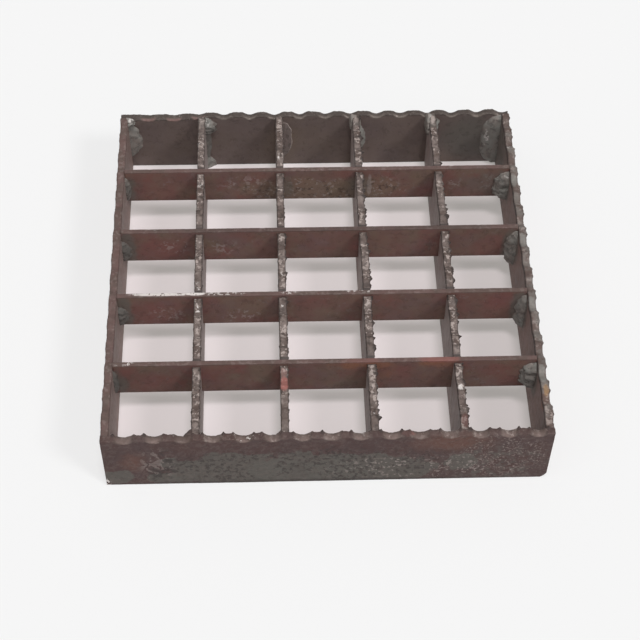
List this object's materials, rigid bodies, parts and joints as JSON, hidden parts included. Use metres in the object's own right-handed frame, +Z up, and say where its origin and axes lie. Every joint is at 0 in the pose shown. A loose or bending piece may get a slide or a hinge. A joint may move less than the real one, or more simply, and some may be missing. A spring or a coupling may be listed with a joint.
{
  "type": "serrated steel grating panel",
  "caption": "Flat open grating of serrated flat bars on edge, with thinner cross bars let into slots and bands welded across the ends, in dark oxidised steel.",
  "frame": {"origin": "centre of the panel's underside, on the floor it lies on", "axes": "+Y along the bearing bars, from the front band to the back band; +X across them to the right, where the narrower bay is; +Z up, to the serrated edges"},
  "size_m": [0.1678, 0.1694, 0.0306],
  "materials": {
    "bar_steel": "dark brown-red oxide over rolled steel, matt, with grey scale and rust spots",
    "weld_metal": "grey-green fused weld bead, matt and lumpy"
  },
  "bodies": {
    "root": {"band_front": "bar_steel", "band_back": "bar_steel", "side_bar_left": "bar_steel", "side_bar_right": "bar_steel", "bearing_bar_1": "bar_steel", "bearing_bar_2": "bar_steel", "bearing_bar_3": "bar_steel", "bearing_bar_4": "bar_steel", "cross_bar_1": "bar_steel", "cross_bar_2": "bar_steel", "cross_bar_3": "bar_steel", "cross_bar_4": "bar_steel", "welds_left": "weld_metal", "welds_right": "weld_metal", "welds_front": "weld_metal", "welds_back": "weld_metal"}
  },
  "joints": []
}
